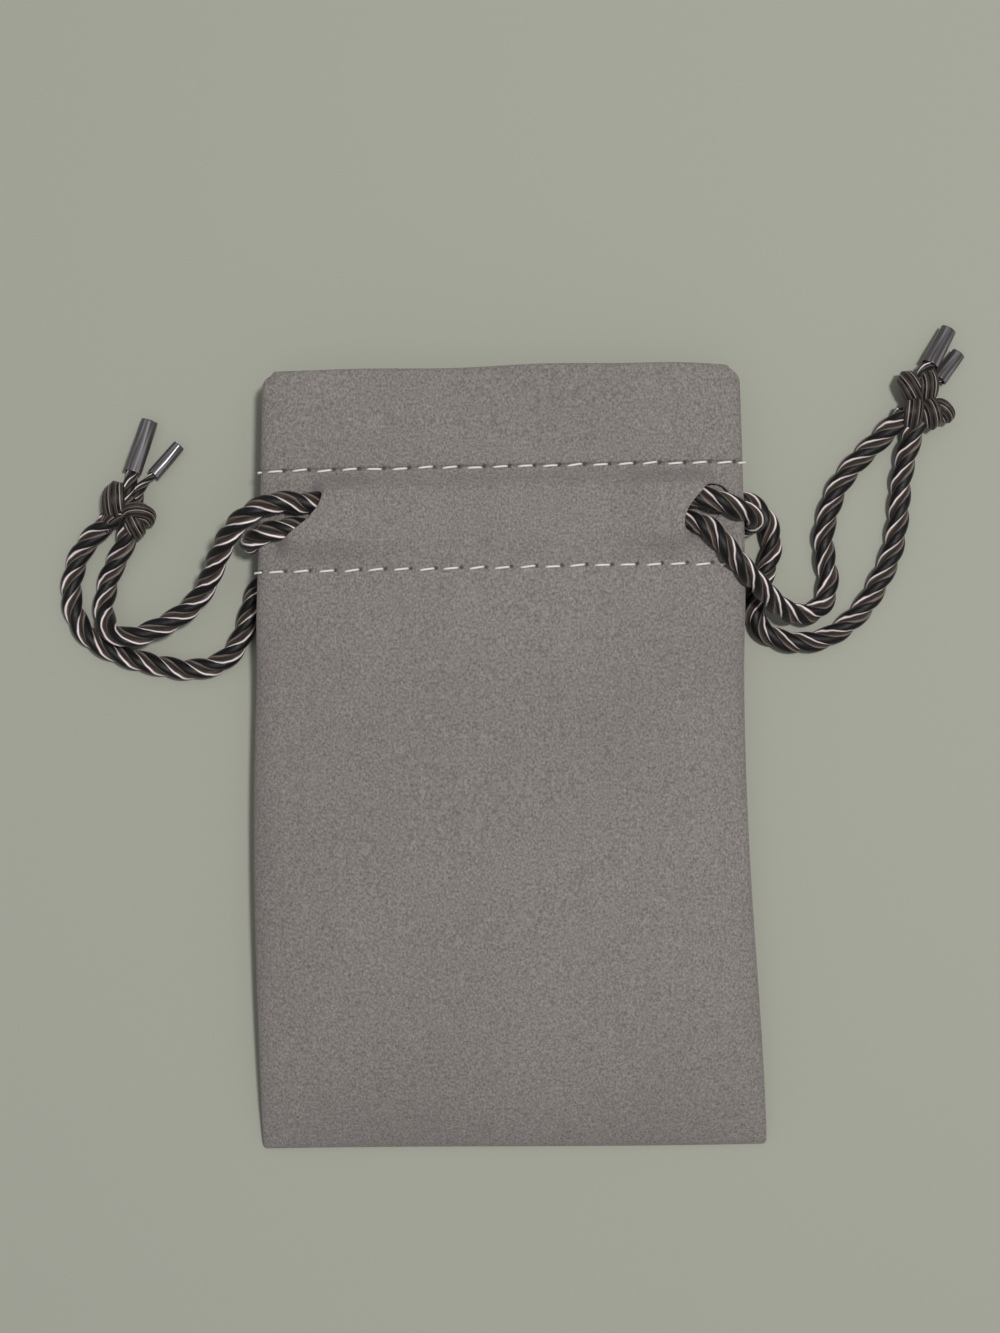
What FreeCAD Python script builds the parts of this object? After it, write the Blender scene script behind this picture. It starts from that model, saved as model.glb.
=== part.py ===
"""Drawstring gift pouch: two suede panels, a stitched channel and two twisted drawcords.

The pouch lies on its back. X runs across it, Y towards its mouth and Z up, and the origin
is under its middle, on the surface that it lies on. All sizes are in millimetres.
"""
import FreeCAD, Part
import math
import os

V = FreeCAD.Vector

# Overall sizes of the empty pouch
LENGTH = 110.0            # bottom edge to mouth
WIDTH_MOUTH = 67.4        # across the stuffed mouth end
WIDTH_BOTTOM = 71.2       # across the flat bottom end
SHEET = 0.6               # thickness of the suede
HEADER = 13.4             # mouth to the upper row of stitches
CHANNEL = 14.1            # upper row to lower row of stitches
HEM_TAIL = 1.3            # hem beyond the lower row
HEM_GAP = 4.2             # clear height of the mouth between the two hems
HEM_SIDE_PLAY = 0.2       # between the hems and the start of the side folds' round

# The puffed body below the channel: distance from the bottom edge, thickness
BODY_SWELL = [(0.0, 1.9), (2.0, 3.6), (9.0, 6.6), (21.0, 8.6), (35.0, 9.4), (55.0, 9.8)]
RAMP_LENGTH = 7.0         # stretch over which the back lifts clear of the cords
RAMP_BELOW_ROW = 5.5      # that stretch ends this far below the lower row

# Cords
CORD = 3.2                # diameter of the three-strand cord
CORD_ROOM = 0.05          # play between a cord and the cloth round it
LANE_GAP = 0.1            # play between the two cords in one channel
LANES_UP = 0.7            # the cords lie this far above the middle of the channel
BEND_SHARE = 0.45         # share of each straight run that a bend of the cord takes
HOLE_IN = 8.3             # inner end of each cord hole, from the side fold
HOLE_LENGTH = 4.2         # hole along the channel
HOLE_OVER = 0.8           # hole beyond the cords, each side
TUNNEL_SLOPE = 1.9        # width of the sloping sides of the raised channel
TUNNEL_ROUND = 0.9        # rounding of the raised channel's shoulders
RUN_END_IN = 2.0          # where the hidden cord stretches end, inside the hole

# Thread
THREAD = 0.32             # diameter of the sewing thread
STITCH = 2.1              # visible length of a stitch
STITCH_PITCH = 3.5
STITCH_RAISE = 0.06       # thread's centre above the cloth
STITCH_LEG = 0.8          # thread's thickness where it is pulled through, as a share
SEAM_SINK = 0.45          # seam thread's centre from the cloth, as a share of its diameter

# Clearances of the part that opens
LIP_GAP = 0.3             # between the opening lip and what stays still
LIP_ABOVE_ROW = 0.7       # lip starts this far above the upper row

# Knots and tipped ends
KNOT_CLEAR = 0.12         # between a leg's end and the knot that it runs into
TIP_WALL = 0.2            # wall of the film tip on a cord end
TIP_FIT = 0.02            # play between the film and the cord end
TIP_OPEN = 0.9            # film beyond the cord's cut end

# Places worked out from the sizes above
Y_BOTTOM = -LENGTH / 2
Y_MOUTH = LENGTH / 2
Y_UPPER = Y_MOUTH - HEADER
Y_LOWER = Y_UPPER - CHANNEL
Y_LIP = Y_UPPER + LIP_ABOVE_ROW
Y_HEM_END = Y_LOWER - HEM_TAIL
Y_RAMP_TOP = Y_LOWER - RAMP_BELOW_ROW
Y_RAMP_FOOT = Y_RAMP_TOP - RAMP_LENGTH

TUNNEL_RISE = CORD + 2 * CORD_ROOM                # how far the channel stands proud
Z_BACK = TUNNEL_RISE                              # underside of the back, beside the channel
Z_MIDDLE = Z_BACK + 2 * SHEET + HEM_GAP / 2
Z_FRONT = 2 * Z_MIDDLE - Z_BACK                   # top of the front, beside the channel
THICKNESS = Z_FRONT - Z_BACK
Z_HEM = Z_FRONT - 2 * SHEET                       # underside of the front hem

HOLE_X = WIDTH_MOUTH / 2 - HOLE_IN                # inner end of a hole
RUN_X = HOLE_X - RUN_END_IN                       # end of the hidden stretches
LANE_MIDDLE = (Y_UPPER + Y_LOWER) / 2 + LANES_UP
LANE_STEP = (CORD + LANE_GAP) / 2
LANE_HIGH = LANE_MIDDLE + LANE_STEP
LANE_LOW = LANE_MIDDLE - LANE_STEP
Z_LANE_FRONT = Z_FRONT - SHEET + CORD_ROOM + CORD / 2
Z_LANE_BACK = 2 * Z_MIDDLE - Z_LANE_FRONT

FAR = 60.0                # reach of cutting blocks, past everything


def half_width(y):
    """Half of the pouch's width, which tapers evenly from bottom to mouth."""
    share = (y - Y_BOTTOM) / LENGTH
    return (WIDTH_BOTTOM + (WIDTH_MOUTH - WIDTH_BOTTOM) * share) / 2


def stations():
    """The lofted sections, as (y, lowest z, highest z)."""
    rows = [(Y_BOTTOM + up, 0.0, thick) for up, thick in BODY_SWELL]
    rows.append((Y_RAMP_FOOT, 0.0, Z_FRONT))
    rows.append((Y_RAMP_TOP, Z_BACK, Z_FRONT))
    rows.append((Y_MOUTH, Z_BACK, Z_FRONT))
    return rows


def section_at(y):
    """Lowest and highest z of the pouch at one y, straight between stations."""
    rows = stations()
    for (y0, a0, b0), (y1, a1, b1) in zip(rows, rows[1:]):
        if y <= y1:
            k = (y - y0) / (y1 - y0)
            return a0 + k * (a1 - a0), b0 + k * (b1 - b0)
    return rows[-1][1:]


def stadium(y, low, high, half):
    """A closed outline in the plane of one y: two flats joined by two half circles."""
    r = (high - low) / 2
    x = half - r
    z = (high + low) / 2
    return Part.Wire([
        Part.LineSegment(V(-x, y, low), V(x, y, low)).toShape(),
        Part.Arc(V(x, y, low), V(half, y, z), V(x, y, high)).toShape(),
        Part.LineSegment(V(x, y, high), V(-x, y, high)).toShape(),
        Part.Arc(V(-x, y, high), V(-half, y, z), V(-x, y, low)).toShape(),
    ])


def tube_of_cloth():
    """The whole pouch wall: an outer loft less an inner one, open at the mouth only."""
    outer = [stadium(y, low, high, half_width(y)) for y, low, high in stations()]
    places = [Y_BOTTOM + SHEET] + [row[0] for row in stations()[1:]]
    inner = []
    for y in places:
        low, high = section_at(y)
        inner.append(stadium(y, low + SHEET, high - SHEET, half_width(y) - SHEET))
    past = Y_MOUTH + 1.0
    inner.append(stadium(past, Z_BACK + SHEET, Z_FRONT - SHEET, half_width(Y_MOUTH) - SHEET))
    return Part.makeLoft(outer, True, True).cut(Part.makeLoft(inner, True, True))


def block(x0, x1, y0, y1, z0, z1):
    """A box between two corners."""
    return Part.makeBox(x1 - x0, y1 - y0, z1 - z0, V(x0, y0, z0))


def prism_across(outline, x0, x1):
    """A closed outline of (y, z) points carried along X."""
    points = [V(x0, y, z) for y, z in outline]
    face = Part.Face(Part.makePolygon(points + points[:1]))
    return face.extrude(V(x1 - x0, 0, 0))


def upper_half():
    """Everything above the side seams, which follow the middle of the pouch's height."""
    line = [(y, (low + high) / 2) for y, low, high in stations()]
    line[0] = (Y_BOTTOM - 1.0, line[0][1])
    line[-1] = (Y_MOUTH + 2.0, line[-1][1])
    return prism_across(line + [(line[-1][0], FAR), (line[0][0], FAR)], -FAR, FAR)


def mirrored(shape):
    """The same thing on the back: mirrored in the middle height of the mouth end."""
    return shape.mirror(V(0, 0, Z_MIDDLE), V(0, 0, 1))


def rounded_ridge(low_y, high_y, slope, base, top, radius):
    """A ridge along X with sloping sides and rounded shoulders, between the two holes."""
    outline = [(low_y, base), (low_y + slope, top), (high_y - slope, top), (high_y, base)]
    ridge = prism_across(outline, -HOLE_X, HOLE_X)
    edges = [
        e for e in ridge.Edges
        if abs(e.Length - 2 * HOLE_X) < 0.01 and e.BoundBox.ZMin > top - 0.01
    ]
    return ridge.makeFillet(radius, edges)


def channel_ridge():
    """The raised middle of the channel, which the two cords fill: (outside, inside)."""
    reach = LANE_STEP + CORD / 2 + CORD_ROOM + TUNNEL_ROUND
    low_y = LANE_MIDDLE - reach - TUNNEL_SLOPE
    high_y = LANE_MIDDLE + reach + TUNNEL_SLOPE
    base = Z_FRONT - SHEET
    outer = rounded_ridge(low_y, high_y, TUNNEL_SLOPE, base, Z_FRONT + TUNNEL_RISE, TUNNEL_ROUND)
    inner = rounded_ridge(
        low_y + SHEET, high_y - SHEET, TUNNEL_SLOPE, base, Z_FRONT + TUNNEL_RISE - SHEET,
        TUNNEL_ROUND - SHEET / 2,
    )
    return outer, inner


def cord_holes():
    """The two holes in a panel, just outboard of the ridge."""
    reach = LANE_STEP + CORD / 2 + HOLE_OVER
    tops = (Z_FRONT - SHEET - 0.01, Z_FRONT + 1.0)
    y0 = LANE_MIDDLE - reach
    y1 = LANE_MIDDLE + reach
    right = block(HOLE_X, HOLE_X + HOLE_LENGTH, y0, y1, *tops)
    left = block(-HOLE_X - HOLE_LENGTH, -HOLE_X, y0, y1, *tops)
    return right.fuse(left)


def hem():
    """The turned-in edge of the front, which closes the channel on the inside."""
    half = min(half_width(Y_MOUTH), half_width(Y_HEM_END)) - THICKNESS / 2 - HEM_SIDE_PLAY
    return block(-half, half, Y_HEM_END, Y_MOUTH, Z_HEM, Z_HEM + SHEET)


def panels():
    """Front and back panels with their hems, and the front's opening lip."""
    wall = tube_of_cloth()
    top = upper_half()
    ridge, hollow = channel_ridge()
    holes = cord_holes()
    front = wall.common(top).fuse(ridge).cut(hollow).cut(holes).removeSplitter()
    back = wall.cut(top).fuse(mirrored(ridge)).cut(mirrored(hollow)).cut(mirrored(holes))
    front_hem = hem()
    still = block(-FAR, FAR, -2 * FAR, Y_LIP - LIP_GAP / 2, -1.0, FAR)
    moves = block(-FAR, FAR, Y_LIP + LIP_GAP / 2, FAR + Y_MOUTH, Z_MIDDLE + LIP_GAP, FAR)
    lip = front.fuse(front_hem).common(moves).removeSplitter()
    return {
        "front_panel": front.common(still),
        "front_hem": front_hem.common(still),
        "front_lip": lip,
        "back_panel": back.removeSplitter(),
        "back_hem": mirrored(front_hem),
    }


def stitch(x, y):
    """One stitch of the front: a bar on the cloth and a leg down through both layers."""
    r = THREAD / 2
    z = Z_FRONT + STITCH_RAISE
    reach = STITCH / 2 - r
    bar = Part.makeCylinder(r, 2 * reach, V(x - reach, y, z), V(1, 0, 0))
    solid = bar
    for end in (x - reach, x + reach):
        solid = solid.fuse(Part.makeSphere(r, V(end, y, z)))
        solid = solid.fuse(
            Part.makeCylinder(r * STITCH_LEG, z - Z_HEM, V(end, y, Z_HEM), V(0, 0, 1)))
    return solid


def stitch_row(y):
    """A row of separate stitches across the front, evenly spaced about the middle."""
    half = half_width(y) - THICKNESS / 2 - STITCH / 2
    each_side = int(half / STITCH_PITCH)
    places = [i * STITCH_PITCH for i in range(-each_side, each_side + 1)]
    return Part.makeCompound([stitch(x, y) for x in places])


def rounded_route(points):
    """Straight runs joined by tangent arcs through a list of corners: (wire, radii, length)."""
    corners = [V(*p) for p in points]
    start = corners[0]
    edges = []
    radii = []
    for before, here, after in zip(corners, corners[1:], corners[2:]):
        way_in = here - before
        way_out = after - here
        turn = way_in.getAngle(way_out)
        cut = BEND_SHARE * min(way_in.Length, way_out.Length)
        radius = cut / math.tan(turn / 2)
        radii.append(radius)
        into = here - V(way_in).normalize() * cut
        leave = here + V(way_out).normalize() * cut
        inward = (V(way_out).normalize() - V(way_in).normalize()).normalize()
        middle = here + inward * (radius / math.cos(turn / 2) - radius)
        edges.append(Part.LineSegment(start, into).toShape())
        edges.append(Part.Arc(into, middle, leave).toShape())
        start = leave
    edges.append(Part.LineSegment(start, corners[-1]).toShape())
    wire = Part.Wire(edges)
    return wire, radii, wire.Length


def tube(name, points, diameter):
    """A round tube along a route, with its radii and its volume against section x length."""
    wire, radii, length = rounded_route(points)
    ahead = V(*points[1]) - V(*points[0])
    ring = Part.Wire([Part.Circle(V(*points[0]), ahead, diameter / 2).toShape()])
    solid = wire.makePipeShell([ring], True, False)
    expected = math.pi * diameter ** 2 / 4 * length
    print(f"{name}: length {length:.1f}, volume/expected {solid.Volume / expected:.4f}, "
          f"radii {' '.join(f'{r:.1f}' for r in radii)}")
    return solid


# Routes of the cords where they lie outside the pouch, from inside the channel outwards
LEFT_FRONT_LEG = [
    (-23.4, 36.9, 10.95), (-26.6, 36.9, 10.95), (-29.9, 37.3, 11.9), (-33.3, 36.7, 12.3),
    (-36.6, 34.7, 11.6), (-39.4, 31.1, 9.0), (-41.4, 26.8, 5.8), (-44.3, 22.9, 4.3),
    (-48.1, 20.6, 4.9), (-51.6, 19.0, 5.6), (-54.9, 18.9, 5.2), (-57.0, 21.2, 3.4),
    (-57.2, 24.6, 1.9), (-56.4, 28.0, 1.65), (-54.6, 31.1, 2.2), (-53.2, 34.2, 3.0),
]
LEFT_BACK_LEG = [
    (-23.4, 33.6, 2.25), (-26.6, 33.6, 2.25), (-29.8, 32.5, 1.62), (-32.2, 29.9, 1.62),
    (-34.3, 27.0, 1.62), (-35.9, 24.1, 1.62), (-36.8, 20.8, 1.62), (-38.0, 17.6, 1.62),
    (-40.5, 15.0, 1.62), (-43.9, 14.1, 1.62), (-47.4, 14.4, 1.62), (-51.0, 15.2, 1.62),
    (-54.6, 16.3, 1.62), (-58.0, 17.9, 1.62), (-60.8, 20.4, 1.62), (-62.0, 23.9, 1.62),
    (-61.9, 27.6, 1.62), (-60.7, 31.1, 1.7), (-58.3, 34.0, 2.4), (-55.5, 36.2, 3.0),
]
RIGHT_FRONT_LEG = [
    (23.4, 33.6, 10.95), (26.6, 33.6, 10.95), (29.5, 32.0, 12.0), (31.4, 29.2, 12.3),
    (33.5, 26.6, 11.8), (36.0, 24.3, 9.3), (38.3, 22.0, 6.3), (40.9, 20.4, 4.0),
    (43.8, 20.0, 2.3), (46.2, 21.7, 1.7), (47.0, 24.8, 1.62), (46.4, 28.2, 1.62),
    (46.2, 31.7, 1.62), (47.1, 35.1, 1.62), (48.4, 38.4, 1.62), (50.6, 41.4, 1.62),
    (53.4, 44.0, 1.9), (55.9, 46.5, 2.6),
]
RIGHT_BACK_LEG = [
    (23.4, 36.9, 2.25), (26.6, 36.9, 2.25), (29.7, 37.2, 1.6), (33.2, 37.3, 1.62),
    (36.2, 36.3, 1.62), (38.3, 34.0, 1.62), (38.9, 30.8, 1.62), (38.4, 27.6, 1.62),
    (36.9, 24.6, 1.62), (35.9, 21.6, 1.62), (36.4, 18.7, 1.62), (38.8, 16.9, 1.62),
    (42.2, 16.1, 1.62), (45.6, 16.4, 1.62), (48.8, 18.1, 1.62), (51.6, 20.6, 1.62),
    (53.7, 23.8, 1.62), (55.5, 27.2, 1.62), (56.7, 30.9, 1.62), (57.2, 34.7, 1.62),
    (57.5, 38.5, 1.7), (58.1, 42.2, 2.1), (59.2, 45.6, 2.8),
]
LEFT_LOOP = [
    (-23.4, 33.6, 10.95), (-26.6, 33.6, 10.95), (-29.8, 32.9, 11.9), (-32.6, 31.7, 11.6),
    (-35.0, 30.6, 10.0), (-36.0, 30.1, 7.4), (-35.8, 30.8, 4.8), (-34.4, 32.6, 2.5),
    (-32.3, 35.0, 1.65), (-29.7, 36.9, 1.62), (-26.5, 36.9, 2.25), (-23.4, 36.9, 2.25),
]
RIGHT_LOOP = [
    (23.4, 36.9, 10.95), (26.6, 36.9, 10.95), (29.8, 36.3, 11.9), (32.7, 35.1, 11.6),
    (35.0, 34.1, 10.0), (36.0, 33.6, 7.4), (35.8, 33.2, 4.7), (34.2, 32.8, 2.4),
    (31.7, 32.5, 1.65), (29.4, 33.1, 1.62), (26.3, 33.6, 2.25), (23.4, 33.6, 2.25),
]

# Knots as clusters of rounded turns: (x, y, z, radius)
LEFT_KNOT = [
    (-53.4, 37.2, 3.1, 2.9), (-54.2, 39.4, 3.2, 2.6), (-51.3, 35.6, 3.0, 2.8),
    (-55.3, 36.0, 2.9, 2.5),
]
RIGHT_KNOT = [
    (60.1, 50.6, 3.1, 2.8), (58.2, 52.6, 2.9, 2.5), (61.6, 53.0, 2.9, 2.5),
    (58.2, 48.7, 3.0, 2.6), (62.2, 48.6, 2.9, 2.6),
]
# Cut ends of the cords: (start inside the knot, end of the film, outer diameter, film length)
LEFT_TIPS = [
    ((-53.9, 38.9, 3.2), (-50.2, 50.0, 1.6), 2.7, 7.9),
    ((-52.0, 39.6, 2.4), (-46.1, 46.5, 1.2), 1.9, 5.7),
]
RIGHT_TIPS = [
    ((60.2, 53.2, 3.4), (64.8, 60.7, 1.7), 2.3, 6.0),
    ((61.8, 51.8, 2.0), (66.3, 57.3, 1.2), 2.1, 4.8),
]


def knot_solid(balls, swell=0.0):
    """The turns of a knot as one rounded lump."""
    lump = None
    for number, (x, y, z, r) in enumerate(balls):
        ball = Part.makeSphere(r + swell, V(x, y, z), V(0.2 * number, 0.1, 1.0))
        lump = ball if lump is None else lump.fuse(ball)
    return lump


def tipped_end(start, end, outer, film, knot):
    """A cord end that leaves the knot, and the film sleeve round its last stretch."""
    start = V(*start)
    end = V(*end)
    way = (end - start).normalize()
    inner = outer / 2 - TIP_WALL
    long = (end - start).Length
    sleeve_at = end - way * film
    sleeve = Part.makeCylinder(outer / 2, film, sleeve_at, way)
    sleeve = sleeve.cut(Part.makeCylinder(inner, film + 2.0, sleeve_at - way, way))
    tail = Part.makeCylinder(inner - TIP_FIT, long - TIP_OPEN, start, way).cut(knot)
    tail = max(tail.Solids, key=lambda s: s.Volume)
    return tail, sleeve.cut(knot)


def hidden_runs():
    """The straight stretches of both cords inside the front and back channels."""
    lanes = {
        "left_cord_front_run": (LANE_HIGH, Z_LANE_FRONT),
        "right_cord_front_run": (LANE_LOW, Z_LANE_FRONT),
        "left_cord_back_run": (LANE_LOW, Z_LANE_BACK),
        "right_cord_back_run": (LANE_HIGH, Z_LANE_BACK),
    }
    return {
        name: Part.makeCylinder(CORD / 2, 2 * RUN_X, V(-RUN_X, y, z), V(1, 0, 0))
        for name, (y, z) in lanes.items()
    }


def cords():
    """Legs, outside loops, knots and tipped ends of both cords."""
    found = hidden_runs()
    knots = {"left": LEFT_KNOT, "right": RIGHT_KNOT}
    legs = {
        "left": (LEFT_FRONT_LEG, LEFT_BACK_LEG),
        "right": (RIGHT_FRONT_LEG, RIGHT_BACK_LEG),
    }
    tips = {"left": LEFT_TIPS, "right": RIGHT_TIPS}
    for side in ("left", "right"):
        knot = knot_solid(knots[side])
        room = knot_solid(knots[side], KNOT_CLEAR)
        found[f"{side}_knot"] = knot
        for which, route in zip(("front", "back"), legs[side]):
            name = f"{side}_cord_{which}_leg"
            leg = tube(name, route, CORD).cut(room)
            found[name] = max(leg.Solids, key=lambda s: s.Volume)
        for number, (start, end, outer, film) in enumerate(tips[side]):
            tail, sleeve = tipped_end(start, end, outer, film, knot)
            found[f"{side}_cord_end_{number + 1}"] = tail
            found[f"{side}_end_film_{number + 1}"] = sleeve
    found["right_cord_left_loop"] = tube("right_cord_left_loop", LEFT_LOOP, CORD)
    found["left_cord_right_loop"] = tube("left_cord_right_loop", RIGHT_LOOP, CORD)
    return found


def seam_threads():
    """The closing thread inside each side fold, and along the bottom fold."""
    found = {}
    places = [row[0] for row in stations()[2:-1]] + [Y_LIP - LIP_GAP]
    for side, sign in (("left", -1), ("right", 1)):
        route = []
        for y in places:
            low, high = section_at(y)
            route.append((sign * (half_width(y) - SHEET - THREAD * SEAM_SINK), y, (low + high) / 2))
        found[f"{side}_seam_thread"] = tube(f"{side}_seam_thread", route, THREAD)
    y = Y_BOTTOM + SHEET + THREAD * SEAM_SINK
    low, high = section_at(y)
    half = half_width(y) - SHEET - (high - low)
    z = (low + high) / 2
    found["bottom_seam_thread"] = Part.makeCylinder(THREAD / 2, 2 * half, V(-half, y, z), V(1, 0, 0))
    return found


def stitching():
    """The two rows of stitches on each panel."""
    upper = stitch_row(Y_UPPER)
    lower = stitch_row(Y_LOWER)
    return {
        "front_upper_stitches": upper,
        "front_lower_stitches": lower,
        "back_upper_stitches": mirrored(upper),
        "back_lower_stitches": mirrored(lower),
    }


def main():
    """Builds every piece and writes one STEP file for each."""
    os.makedirs("parts", exist_ok=True)
    pieces = {**panels(), **cords(), **seam_threads(), **stitching()}
    for name, shape in sorted(pieces.items()):
        shape.exportStep(f"parts/{name}.step")
        box = shape.BoundBox
        print(f"{name}: {len(shape.Solids)} solids, valid {shape.isValid()}, "
              f"x {box.XMin:.1f}..{box.XMax:.1f}, y {box.YMin:.1f}..{box.YMax:.1f}, "
              f"z {box.ZMin:.2f}..{box.ZMax:.2f}, volume {shape.Volume:.1f}")


main()
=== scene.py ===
# %% [markdown]
# # A suede gift pouch with twisted drawcords
# The pouch lies on its back. X runs across it, Y towards its mouth and Z up, in metres.
# The construction model gives the frame, and every piece below is laid into that frame.

# %% Load the frame
import bpy
import math
import numpy as np
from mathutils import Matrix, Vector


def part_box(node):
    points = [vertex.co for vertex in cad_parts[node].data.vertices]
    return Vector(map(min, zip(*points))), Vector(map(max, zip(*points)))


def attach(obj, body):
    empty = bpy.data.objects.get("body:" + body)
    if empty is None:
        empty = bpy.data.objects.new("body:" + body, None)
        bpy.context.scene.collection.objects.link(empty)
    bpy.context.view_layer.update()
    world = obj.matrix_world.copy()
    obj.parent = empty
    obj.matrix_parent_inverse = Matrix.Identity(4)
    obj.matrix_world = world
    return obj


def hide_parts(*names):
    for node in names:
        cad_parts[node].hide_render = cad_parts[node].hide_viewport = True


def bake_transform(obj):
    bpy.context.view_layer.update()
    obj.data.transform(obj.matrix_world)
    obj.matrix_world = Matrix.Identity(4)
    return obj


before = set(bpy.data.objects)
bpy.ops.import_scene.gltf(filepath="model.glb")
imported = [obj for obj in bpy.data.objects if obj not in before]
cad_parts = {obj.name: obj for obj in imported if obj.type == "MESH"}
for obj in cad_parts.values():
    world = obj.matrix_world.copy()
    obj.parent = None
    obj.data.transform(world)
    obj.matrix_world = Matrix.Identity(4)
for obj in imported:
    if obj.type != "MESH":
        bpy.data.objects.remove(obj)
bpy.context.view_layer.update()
MM = 0.001
RANDOM = np.random.default_rng(7)

# %% [markdown]
# The camera looks straight down on the pouch from 30 cm, like someone bending over a table. It
# is turned a degree, because the pouch lies a little askew to it and stays square to X and Y.

# %% Camera
CAMERA_HEIGHT = 0.300
camera = bpy.data.objects.new("camera", bpy.data.cameras.new("camera"))
bpy.context.scene.collection.objects.link(camera)
camera.location = (-0.0006, 0.0137, CAMERA_HEIGHT)
camera.rotation_euler = (0, 0, math.radians(-1.2))
camera.data.lens = 56.07
camera.data.clip_start = 0.01
bpy.context.scene.camera = camera
bpy.context.scene.view_settings.view_transform = "Standard"
print("camera at", tuple(camera.location))

# %% [markdown]
# The drawcords are three satin strands laid right-handed. Each stretch outside the pouch is a smooth
# line through a few listed points, and the strands wind round that line. A NURBS curve of order 3
# gives the line, because it eases through the corners as a limp cord does.

# %% Cord routes, in metres, from inside the channel outwards; a leg's last point is in its knot
LEFT_FRONT_LEG = [
    (-0.0234, 0.0369, 0.01095), (-0.0266, 0.0369, 0.01095), (-0.0299, 0.0373, 0.0119),
    (-0.0333, 0.0367, 0.0123), (-0.0366, 0.0347, 0.0116), (-0.0394, 0.0311, 0.0090),
    (-0.0414, 0.0268, 0.0058), (-0.0443, 0.0229, 0.0043), (-0.0481, 0.0206, 0.0049),
    (-0.0516, 0.0190, 0.0056), (-0.0549, 0.0189, 0.0052), (-0.0570, 0.0212, 0.0034),
    (-0.0572, 0.0246, 0.0019), (-0.0564, 0.0280, 0.00165), (-0.0546, 0.0311, 0.0022),
    (-0.0532, 0.0342, 0.0030), (-0.0530, 0.0362, 0.0032),
]
LEFT_BACK_LEG = [
    (-0.0234, 0.0336, 0.00225), (-0.0266, 0.0336, 0.00225), (-0.0298, 0.0325, 0.00162),
    (-0.0322, 0.0299, 0.00162), (-0.0343, 0.0270, 0.00162), (-0.0359, 0.0241, 0.00162),
    (-0.0368, 0.0208, 0.00162), (-0.0380, 0.0176, 0.00162), (-0.0405, 0.0150, 0.00162),
    (-0.0439, 0.0141, 0.00162), (-0.0474, 0.0144, 0.00162), (-0.0510, 0.0152, 0.00162),
    (-0.0546, 0.0163, 0.00162), (-0.0580, 0.0179, 0.00162), (-0.0608, 0.0204, 0.00162),
    (-0.0620, 0.0239, 0.00162), (-0.0619, 0.0276, 0.00162), (-0.0607, 0.0311, 0.0017),
    (-0.0583, 0.0340, 0.0024), (-0.0555, 0.0362, 0.0030),
    (-0.0540, 0.0372, 0.0032),
]
RIGHT_FRONT_LEG = [
    (0.0234, 0.0336, 0.01095), (0.0266, 0.0336, 0.01095), (0.0295, 0.0320, 0.0120),
    (0.0314, 0.0292, 0.0123), (0.0335, 0.0266, 0.0118), (0.0360, 0.0243, 0.0093),
    (0.0383, 0.0220, 0.0063), (0.0409, 0.0204, 0.0040), (0.0438, 0.0200, 0.0023),
    (0.0462, 0.0217, 0.0017), (0.0470, 0.0248, 0.00162), (0.0464, 0.0282, 0.00162),
    (0.0462, 0.0317, 0.00162), (0.0471, 0.0351, 0.00162), (0.0484, 0.0384, 0.00162),
    (0.0506, 0.0414, 0.00162), (0.0534, 0.0440, 0.0019), (0.0559, 0.0465, 0.0026),
    (0.0582, 0.0487, 0.0032),
]
RIGHT_BACK_LEG = [
    (0.0234, 0.0369, 0.00225), (0.0266, 0.0369, 0.00225), (0.0297, 0.0372, 0.00162),
    (0.0332, 0.0373, 0.00162), (0.0362, 0.0363, 0.00162), (0.0383, 0.0340, 0.00162),
    (0.0389, 0.0308, 0.00162), (0.0384, 0.0276, 0.00162), (0.0369, 0.0246, 0.00162),
    (0.0359, 0.0216, 0.00162), (0.0364, 0.0187, 0.00162), (0.0388, 0.0169, 0.00162),
    (0.0422, 0.0161, 0.00162), (0.0456, 0.0164, 0.00162), (0.0488, 0.0181, 0.00162),
    (0.0516, 0.0206, 0.00162), (0.0537, 0.0238, 0.00162), (0.0555, 0.0272, 0.00162),
    (0.0567, 0.0309, 0.00162), (0.0572, 0.0347, 0.00162), (0.0575, 0.0385, 0.0017),
    (0.0581, 0.0422, 0.0021), (0.0592, 0.0456, 0.0028), (0.0601, 0.0484, 0.0032),
]
LEFT_LOOP = [
    (-0.0234, 0.0336, 0.01095), (-0.0266, 0.0336, 0.01095), (-0.0298, 0.0336, 0.0113),
    (-0.0325, 0.0331, 0.0110), (-0.0346, 0.0324, 0.0095), (-0.0356, 0.0318, 0.0071),
    (-0.0356, 0.0318, 0.0046), (-0.0344, 0.0330, 0.0025), (-0.0323, 0.0350, 0.00165),
    (-0.0297, 0.0369, 0.00162), (-0.0265, 0.0369, 0.00225), (-0.0234, 0.0369, 0.00225),
]
RIGHT_LOOP = [
    (0.0234, 0.0369, 0.01095), (0.0266, 0.0369, 0.01095), (0.0298, 0.0363, 0.0119),
    (0.0327, 0.0351, 0.0116), (0.0350, 0.0341, 0.0100), (0.0360, 0.0336, 0.0074),
    (0.0358, 0.0332, 0.0047), (0.0342, 0.0328, 0.0024), (0.0317, 0.0325, 0.00165),
    (0.0294, 0.0331, 0.00162), (0.0263, 0.0336, 0.00225), (0.0234, 0.0336, 0.00225),
]
print("route points", sum(len(r) for r in (LEFT_FRONT_LEG, LEFT_BACK_LEG, LEFT_LOOP)))


# %% [markdown]
# A rope needs evenly spaced points and a steady sense of "sideways" at each of them. The first
# helper samples the curve evenly. The last one carries a sideways direction along the line from
# point to point, so that the strands never jump when the line turns upwards or back.

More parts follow.
